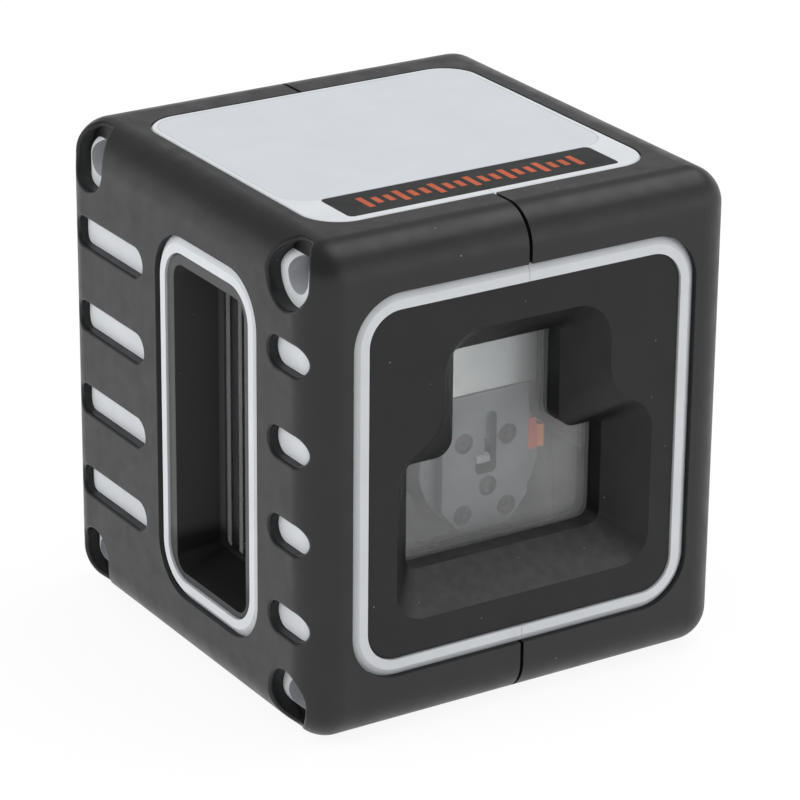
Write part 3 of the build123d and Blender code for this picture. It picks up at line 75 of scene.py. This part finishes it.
class Surface:
    """A node material on a Principled shader, with helpers that add one kind of detail each; some of them
    paint light or shade.
    """

    def __init__(self, name, **settings):
        self.material = bpy.data.materials.new(name)
        self.material.use_nodes = True
        self.tree = self.material.node_tree
        self.shader = self.tree.nodes["Principled BSDF"]
        for socket, value in settings.items():
            self.shader.inputs[socket.replace("_", " ")].default_value = value
        coordinates = self.tree.nodes.new("ShaderNodeTexCoord")
        self.place = coordinates.outputs["Object"]
        self.side = coordinates.outputs["Normal"]

    def add(self, kind, **inputs):
        """Adds a node and sets its inputs, each to a value or to another node's output."""
        node = self.tree.nodes.new(kind)
        for socket, value in inputs.items():
            self.feed(value, node.inputs[socket.replace("_", " ")])
        return node

    def feed(self, value, socket):
        if isinstance(value, bpy.types.NodeSocket):
            self.tree.links.new(value, socket)
        else:
            socket.default_value = value

    def link(self, source, socket):
        self.tree.links.new(source, self.shader.inputs[socket])

    def noise(self, size_mm, detail=3.0, stretch=(1, 1, 1)):
        """Noise with features of about that size; stretch draws them out along an axis."""
        spread = self.add("ShaderNodeMapping", Vector=self.place, Scale=stretch)
        return self.add(
            "ShaderNodeTexNoise", Vector=spread.outputs["Vector"], Scale=1 / (size_mm * MM), Detail=detail
        ).outputs["Fac"]

    def ramp(self, value, low, high, from_value, to_value):
        """Maps a texture's range low..high to the values from_value..to_value."""
        return self.add(
            "ShaderNodeMapRange",
            Value=value, From_Min=low, From_Max=high, To_Min=from_value, To_Max=to_value
        ).outputs["Result"]

    def mix(self, factor, first, second):
        """Goes from the first colour to the second as the factor goes from 0 to 1."""
        node = self.tree.nodes.new("ShaderNodeMix")
        node.data_type = "RGBA"
        self.feed(factor, node.inputs["Factor"])
        for colour, socket in ((first, node.inputs[6]), (second, node.inputs[7])):
            self.feed((*colour, 1) if isinstance(colour, tuple) else colour, socket)
        return node.outputs[2]

    def bump(self, height, depth_mm):
        node = self.add("ShaderNodeBump", Height=height, Strength=1.0, Distance=depth_mm * MM)
        self.link(node.outputs["Normal"], "Normal")

    def calculate(self, operation, first, second=0.0):
        node = self.add("ShaderNodeMath")
        node.operation = operation
        self.feed(first, node.inputs[0])
        self.feed(second, node.inputs[1])
        return node.outputs["Value"]

    def multiply(self, first, second):
        return self.calculate("MULTIPLY", first, second)

    def part_of(self, vector, axis):
        """The share of a place or a direction that lies along X, Y or Z."""
        return self.add("ShaderNodeSeparateXYZ", Vector=vector).outputs[axis]

    def along(self, axis, low_mm, high_mm):
        """A smooth step from 0 to 1 between two places along X, Y or Z."""
        node = self.add(
            "ShaderNodeMapRange",
            Value=self.part_of(self.place, axis), From_Min=low_mm * MM, From_Max=high_mm * MM
        )
        node.interpolation_type = "SMOOTHSTEP"
        return node.outputs["Result"]

    def facing(self, axis, low, high):
        """0 where the surface looks away from an axis and 1 where it looks along it."""
        return self.ramp(self.part_of(self.side, axis), low, high, 0, 1)

    def lying_across(self, axis):
        """1 on the two faces of a pane across an axis, and 0 on its narrow edges."""
        tilt = self.part_of(self.side, axis)
        return self.ramp(self.multiply(tilt, tilt), 0.3, 0.6, 0, 1)

    def well_shade_mask(self):
        """1 inside the screw wells, which lie in the four corners of the left side; it places their
        painted shade.
        """
        sideways = self.calculate("ABSOLUTE", self.part_of(self.place, "Y"))
        across = self.calculate("SUBTRACT", sideways, WELL_Y * MM)
        height = self.calculate("SUBTRACT", self.part_of(self.place, "Z"), WELL_MIDDLE_Z * MM)
        upward = self.calculate("SUBTRACT", self.calculate("ABSOLUTE", height), WELL_RISE * MM)
        offset = self.calculate("ADD", self.multiply(across, across), self.multiply(upward, upward))
        return self.ramp(offset, (WELL_RADIUS * MM) ** 2, (0.9 * WELL_RADIUS * MM) ** 2, 0, 1)

    def specks(self, spacing_mm, radius_mm):
        """1 on scattered small dots, such as dust, and 0 elsewhere."""
        cells = self.add(
            "ShaderNodeTexVoronoi", Vector=self.place, Scale=1 / (spacing_mm * MM), Randomness=1.0
        )
        radius = radius_mm / spacing_mm
        spot = self.ramp(cells.outputs["Distance"], radius, 0.6 * radius, 0, 1)
        chosen = self.add("ShaderNodeSeparateColor", Color=cells.outputs["Color"]).outputs["Red"]
        rare = self.ramp(chosen, 0.70, 0.74, 0, 1)
        return self.multiply(spot, rare)

    def painted_streak(self, back, front, share):
        """A painted reflection: an upright line on the outer face of the side pane, between two places
        along Y.
        """
        after_front = self.along("Y", front - PAINTED_STREAK_EDGE, front)
        inside = self.multiply(after_front, self.along("Y", back, back - PAINTED_STREAK_EDGE))
        outer = self.along("X", SIDE_PANE_X + 0.1, SIDE_PANE_X - 0.1)
        return self.multiply(self.multiply(inside, outer), share)

    def clouded(self, colour, vary, cloud_mm, low, high, painted_light_fade):
        """The colour, a little darker and lighter in soft clouds. A fade paints light or shade: it is an
        axis, two places along it and the colour beyond."""
        dark = tuple(c * (1 - vary) for c in colour)
        light = tuple(min(1, c * (1 + vary)) for c in colour)
        tone = self.mix(self.ramp(self.noise(cloud_mm, 4), low, high, 0, 1), dark, light)
        if painted_light_fade:
            axis, start, end, beyond = painted_light_fade
            tone = self.mix(self.along(axis, start, end), tone, beyond)
        return tone


# The colour of dust; on up-facing faces it also paints the light from above.
DUST_AND_TOP_LIGHT_TONE = linear(150, 150, 148)
# In mm
SPECK_SPACING = 2.4
DUST_AND_TOP_LIGHT_PATCH = 1.6


def moulded(
    name, colour, rough, grain_mm=0.35, grain_depth=0.012, dust=0.0, dust_and_top_light=0.0, vary=0.12, painted_light_fade=None,
    painted_well_shade=None, **settings
):
    """Moulded plastic or rubber: fine grain, a cloudy change of tone and gloss, specks of dust of the
    radius given, and a film where it faces up that is partly dust and partly painted light from above.
    The colour given for the screw wells is a painted shade inside them."""
    surface = Surface(name, **settings)
    tone = surface.clouded(colour, vary, 9, 0.35, 0.65, painted_light_fade)
    # Painted shade inside the screw wells.
    if painted_well_shade:
        tone = surface.mix(surface.well_shade_mask(), tone, painted_well_shade)
    if dust:
        tone = surface.mix(surface.specks(SPECK_SPACING, dust), tone, DUST_AND_TOP_LIGHT_TONE)
    # Where the surface faces up: partly a film of dust and partly painted light from above.
    if dust_and_top_light:
        patchy = surface.ramp(surface.noise(DUST_AND_TOP_LIGHT_PATCH, 4), 0.35, 0.65, 0.7 * dust_and_top_light, dust_and_top_light)
        tone = surface.mix(surface.multiply(surface.facing("Z", 0.3, 0.7), patchy), tone, DUST_AND_TOP_LIGHT_TONE)
    surface.link(tone, "Base Color")
    surface.link(surface.ramp(surface.noise(3, 3), 0.3, 0.7, rough - 0.05, rough + 0.05), "Roughness")
    surface.bump(surface.noise(grain_mm, 2), grain_depth)
    return surface.material


def metal(
    name, colour, rough, lines=(1, 1, 1), line_mm=0.25, depth=0.006, vary=0.15, painted_light_fade=None, **settings
):
    """Machined or cast metal: tool marks, drawn out along an axis, and a patchy tone."""
    surface = Surface(name, Metallic=1.0, **settings)
    surface.link(surface.clouded(colour, vary, 5, 0.3, 0.7, painted_light_fade), "Base Color")
    marks = surface.noise(line_mm, 3, lines)
    surface.link(surface.ramp(marks, 0.25, 0.75, max(0.05, rough - 0.08), rough + 0.1), "Roughness")
    surface.bump(marks, depth)
    return surface.material


def glass(name, colour, alpha, rough, across=None, painted_streaks=(), haze_painted_light=None, haze_mm=6, **settings):
    """Clear plastic or glass: see-through, with a faint haze that isn't even. On a pane that lies across
    an axis the haze leaves the edges out. Streaks are painted reflections, upright lines on the side
    pane, each a back, a front and an alpha. The haze may be raised by a factor between two places along
    an axis, painted light where the pane lies in shade."""
    surface = Surface(name, IOR=1.5, **settings)
    surface.material.surface_render_method = "BLENDED"
    cloud = surface.ramp(surface.noise(haze_mm, 3), 0.3, 0.7, 0, 1)
    surface.link(surface.mix(cloud, tuple(c * 0.9 for c in colour), colour), "Base Color")
    haze = surface.ramp(cloud, 0, 1, alpha * 0.92, alpha * 1.08)
    # Painted reflections on the side pane.
    for back, front, share in painted_streaks:
        haze = surface.calculate("MAXIMUM", haze, surface.painted_streak(back, front, share))
    # Painted light: more haze where the pane lies in shade.
    if haze_painted_light:
        axis, start, end, factor = haze_painted_light
        haze = surface.multiply(haze, surface.ramp(surface.along(axis, start, end), 0, 1, 1, factor))
    if across:
        haze = surface.multiply(haze, surface.lying_across(across))
    surface.link(haze, "Alpha")
    surface.link(surface.ramp(surface.noise(2, 2), 0.3, 0.7, rough, rough + 0.04), "Roughness")
    return surface.material


ORANGE = linear(226, 84, 40)
SHEEN = {"Specular_IOR_Level": 0.45}
LOW_SHEEN = {"Specular_IOR_Level": 0.3}
MATT = {"Specular_IOR_Level": 0.15}

SLOT_MATERIALS = {
    "skin": moulded("skin", linear(25, 25, 25), 0.40, 0.3, 0.010, dust=0.14, **SHEEN),
    # The shell's screw wells carry a painted shade, a grey darker than the shell.
    "shell": moulded(
        "shell", linear(218, 221, 225), 0.38, grain_depth=0.004, vary=0.03, painted_well_shade=linear(120, 121, 128)
    ),
    # Painted shade: the bezel darkens deeper into the front recess along Y. Where it faces up it is
    # lighter, partly dust and partly painted light from above.
    "bezel": moulded(
        "bezel", linear(27, 27, 27), 0.44, 0.25, 0.012, dust=0.13, dust_and_top_light=0.16,
        painted_light_fade=("Y", -36.5, -33, linear(18, 18, 18)), **LOW_SHEEN
    ),
    # The window's haze grows towards +X, painted light over the part that the recess's right wall shades.
    "window": glass(
        "window", linear(204, 205, 205), 0.2, 0.05, "Y", haze_painted_light=("X", 4, 18, 1.4), Specular_IOR_Level=1.0
    ),
    "foil": moulded("foil", linear(208, 212, 218), 0.5, grain_depth=0.002, vary=0.015),
    "band": moulded("band", linear(50, 51, 51), 0.6, grain_depth=0.003, **MATT),
    "screws": metal("screws", (0.55, 0.55, 0.56), 0.28, (1, 1, 4)),
    "dark_screws": metal("dark_screws", (0.045, 0.042, 0.042), 0.5, (1, 5, 1)),
    "brass": metal("brass", (0.70, 0.50, 0.22), 0.30, (1, 1, 5)),
    "panel": moulded("panel", linear(34, 34, 35), 0.45, dust=0.08, **SHEEN),
    "slider": moulded("slider", ORANGE, 0.40),
    "lock_bar": moulded("lock_bar", linear(60, 61, 64), 0.42),
    "pad": moulded("pad", linear(26, 26, 26), 0.7, **SHEEN),
    "button": moulded("button", ORANGE, 0.45),
    "light_pipe": glass("light_pipe", linear(225, 232, 226), 0.55, 0.1),
    "board": moulded("board", linear(150, 152, 150), 0.5),
    "switch": moulded("switch", linear(28, 28, 28), 0.3),
    "cast_frame": metal("cast_frame", (0.50, 0.51, 0.52), 0.45, depth=0.015),
    "inner_plastic": moulded("inner_plastic", linear(150, 151, 152), 0.5),
    "machined": metal("machined", (0.52, 0.55, 0.54), 0.33, (1, 1, 6)),
    "pins": metal("pins", (0.66, 0.66, 0.68), 0.2),
    "casting": metal("casting", (0.20, 0.21, 0.22), 0.5, depth=0.02),
    "barrel": metal("barrel", (0.16, 0.17, 0.18), 0.4, (1, 6, 1)),
    "lens_plate": metal("lens_plate", (0.175, 0.195, 0.21), 0.5, (1, 1, 3)),
    "lens": glass("lens", linear(235, 240, 244), 0.5, 0.04),
    # Lit and shaded copies of one orange: the strip is dark red where it lies in shade and bright orange
    # beyond 11.6 to 12.2 mm along X, where it is lit.
    "strip": moulded("strip", (0.85, 0.09, 0.02), 0.35, painted_light_fade=("X", 11.6, 12.2, (1.0, 0.30, 0.03))),
    "copper": metal("copper", (0.72, 0.38, 0.22), 0.3, (1, 1, 8)),
    "magnet": metal("magnet", (0.6, 0.6, 0.6), 0.25),
    "cell": moulded("cell", linear(120, 122, 124), 0.3, grain_depth=0.002, vary=0.03),
    "contact": metal("contact", (0.62, 0.62, 0.62), 0.25, (1, 6, 1)),
    "door": moulded("door", linear(28, 28, 28), 0.44, dust=0.08, **SHEEN),
}
NODE_MATERIALS = {
    # The two streaks on the side pane are painted reflections.
    "side_window": glass(
        "side_pane", linear(146, 147, 150), 0.03, 0.05, "X", [(2.6, 0.2, 0.6), (-2.3, -3.4, 0.6)]
    ),
    # Painted light and shade: the side bezel turns much lighter above 19 to 22 mm, on the slit's inner
    # wall, and stays dark on the low ramp, which lies in shade.
    "side_bezel": moulded(
        "side_bezel", linear(26, 26, 26), 0.44, 0.25, 0.012, dust=0.10,
        painted_light_fade=("Z", 19, 22, linear(66, 66, 66)), **SHEEN
    ),
    # Painted reflection: the block's metal is bright up to -8 mm along X and a darker grey from 5 mm on.
    "laser_block": metal(
        "laser_block", (0.68, 0.71, 0.69), 0.33, (1, 1, 6), painted_light_fade=("X", -8, 5, (0.46, 0.49, 0.50))
    ),
    "lower_lens": glass("dull_lens", linear(90, 92, 96), 0.5, 0.1),
}
slot_of = {part["node"]: part["material_slot"] for part in frame["record"]["subparts"]}
for node_name, piece in nodes.items():
    piece.data.materials.clear()
    piece.data.materials.append(NODE_MATERIALS.get(node_name, SLOT_MATERIALS[slot_of[node_name]]))


# Marks on the dark band

MARK_PITCH = 2.1 * MM
MARK_COUNT = 19
LONG_EVERY = 3
MARK_WIDTH = 1.05 * MM
SHORT_MARK = 2.6 * MM
LONG_MARK = 4.4 * MM
MARK_THICKNESS = 0.03 * MM


def band_marks():
    """A plain scale of orange bars, every third one longer, printed along the middle of the band."""
    low_left, high_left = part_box("band_left")
    high_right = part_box("band_right")[1]
    middle_x = (low_left.x + high_right.x) / 2
    middle_y = (low_left.y + high_left.y) / 2
    mesh = bpy.data.meshes.new("band_marks")
    shape = bmesh.new()
    for index in range(MARK_COUNT):
        step = index - (MARK_COUNT - 1) / 2
        length = LONG_MARK if index % LONG_EVERY == 0 else SHORT_MARK
        centre = Vector((middle_x + step * MARK_PITCH, middle_y, high_left.z + MARK_THICKNESS / 2))
        bar = bmesh.ops.create_cube(shape, size=1)["verts"]
        bmesh.ops.scale(shape, vec=(MARK_WIDTH, length, MARK_THICKNESS), verts=bar)
        bmesh.ops.translate(shape, vec=centre, verts=bar)
    shape.to_mesh(mesh)
    shape.free()
    marks = bpy.data.objects.new("band_marks", mesh)
    bpy.context.collection.objects.link(marks)
    mesh.materials.append(moulded("ink", linear(186, 80, 38), 0.5, grain_depth=0.002))
    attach(marks, "housing")


band_marks()


# Studio

SKY = 0.62
CEILING = 0.3
CEILING_FROM = 0.15
CEILING_TO = 0.45
FLOOR_SIZE = 4
FLOOR_DROP = 0.2 * MM
FLOOR_GLOW = 0.9
FLOOR_SHADE = (0.12, 0.12, 0.12, 1)
FLOOR_PAINT = (0.8, 0.8, 0.8, 1)
LEVEL_MIDDLE = Vector((0, 0, 0.04))


def either(tree, first, second):
    """1 where the first or the second output is 1."""
    node = tree.nodes.new("ShaderNodeMath")
    node.operation = "MAXIMUM"
    tree.links.new(first, node.inputs[0])
    tree.links.new(second, node.inputs[1])
    return node.outputs[0]


def floor():
    """A pale floor that looks white and still takes the level's shadow."""
    bpy.ops.mesh.primitive_plane_add(size=FLOOR_SIZE, location=(0, 0, -FLOOR_DROP))
    plane = bpy.context.object
    plane.name = "floor"
    paint = bpy.data.materials.new("floor_paint")
    paint.use_nodes = True
    tree = paint.node_tree
    tree.nodes.clear()
    output = tree.nodes.new("ShaderNodeOutputMaterial")
    glow = tree.nodes.new("ShaderNodeEmission")
    glow.inputs["Strength"].default_value = FLOOR_GLOW
    shaded = tree.nodes.new("ShaderNodeBsdfDiffuse")
    shaded.inputs["Color"].default_value = FLOOR_SHADE
    seen = tree.nodes.new("ShaderNodeAddShader")
    tree.links.new(glow.outputs[0], seen.inputs[0])
    tree.links.new(shaded.outputs[0], seen.inputs[1])
    lighting = tree.nodes.new("ShaderNodeBsdfDiffuse")
    lighting.inputs["Color"].default_value = FLOOR_PAINT
    choose = tree.nodes.new("ShaderNodeMixShader")
    ray = tree.nodes.new("ShaderNodeLightPath")
    direct = either(tree, ray.outputs["Is Camera Ray"], ray.outputs["Is Transmission Ray"])
    tree.links.new(either(tree, direct, ray.outputs["Is Glossy Ray"]), choose.inputs[0])
    tree.links.new(lighting.outputs[0], choose.inputs[1])
    tree.links.new(seen.outputs[0], choose.inputs[2])
    tree.links.new(choose.outputs[0], output.inputs["Surface"])
    plane.data.materials.append(paint)


def world():
    """White for the camera and through glass, white in reflections up to a dimmer ceiling, and a soft
    grey as light."""
    sky = bpy.data.worlds.new("studio")
    bpy.context.scene.world = sky
    sky.use_nodes = True
    tree = sky.node_tree
    back = tree.nodes["Background"]
    ray = tree.nodes.new("ShaderNodeLightPath")
    direction = tree.nodes.new("ShaderNodeTexCoord")
    height = tree.nodes.new("ShaderNodeSeparateXYZ")
    tree.links.new(direction.outputs["Generated"], height.inputs["Vector"])
    ceiling = tree.nodes.new("ShaderNodeMapRange")
    ceiling.interpolation_type = "SMOOTHSTEP"
    tree.links.new(height.outputs["Z"], ceiling.inputs["Value"])
    for socket, value in (
        ("From Min", CEILING_FROM), ("From Max", CEILING_TO), ("To Min", 1.0), ("To Max", CEILING)
    ):
        ceiling.inputs[socket].default_value = value
    strength = SKY
    for kind, value in (
        ("Is Glossy Ray", ceiling.outputs["Result"]), ("Is Transmission Ray", 1.0), ("Is Camera Ray", 1.0)
    ):
        choose = tree.nodes.new("ShaderNodeMix")
        tree.links.new(ray.outputs[kind], choose.inputs["Factor"])
        for choice, socket in ((strength, choose.inputs[2]), (value, choose.inputs[3])):
            if isinstance(choice, bpy.types.NodeSocket):
                tree.links.new(choice, socket)
            else:
                socket.default_value = choice
        strength = choose.outputs[0]
    tree.links.new(strength, back.inputs["Strength"])
    back.inputs["Color"].default_value = (1, 1, 1, 1)


def softbox(name, place, size, watts, mirrored=True):
    """An area lamp that looks at the middle of the level; it may be left out of reflections."""
    lamp = bpy.data.lights.new(name, "AREA")
    lamp.shape = "RECTANGLE"
    lamp.size, lamp.size_y = size
    lamp.energy = watts
    thing = bpy.data.objects.new(name, lamp)
    bpy.context.collection.objects.link(thing)
    thing.location = place
    thing.rotation_euler = (LEVEL_MIDDLE - Vector(place)).to_track_quat("-Z", "Y").to_euler()
    thing.visible_glossy = mirrored


floor()
world()
softbox("top_box", (0.45, 0.0, 0.85), (0.7, 0.7), 3.1)
softbox("left_box", (-0.9, 0.15, 0.45), (0.5, 0.7), 3.4, mirrored=False)
softbox("front_box", (0.6, -0.8, 0.4), (0.9, 0.8), 1.8)


# Camera

CAMERA_PLACE = Vector((-308.655, -489.158, 274.760)) * MM
CAMERA_RIGHT = Vector((0.84639, -0.53248, 0.00897))
CAMERA_DOWN = Vector((-0.19590, -0.32696, -0.92451))
FOCAL_PIXELS = 3918.85
PICTURE_PIXELS = 800
SENSOR = 36.0
NEAREST = 0.05


def camera():
    """The photograph's camera, fitted to the edges of the housing."""
    lens = bpy.data.cameras.new("camera")
    lens.sensor_width = SENSOR
    lens.lens = FOCAL_PIXELS / PICTURE_PIXELS * SENSOR
    lens.clip_start = NEAREST
    eye = bpy.data.objects.new("camera", lens)
    bpy.context.collection.objects.link(eye)
    right = CAMERA_RIGHT.normalized()
    back = right.cross(-CAMERA_DOWN).normalized()
    up = back.cross(right)
    eye.matrix_world = Matrix.Translation(CAMERA_PLACE) @ Matrix((right, up, back)).transposed().to_4x4()
    bpy.context.scene.camera = eye


camera()
bpy.context.scene.view_settings.view_transform = "Standard"
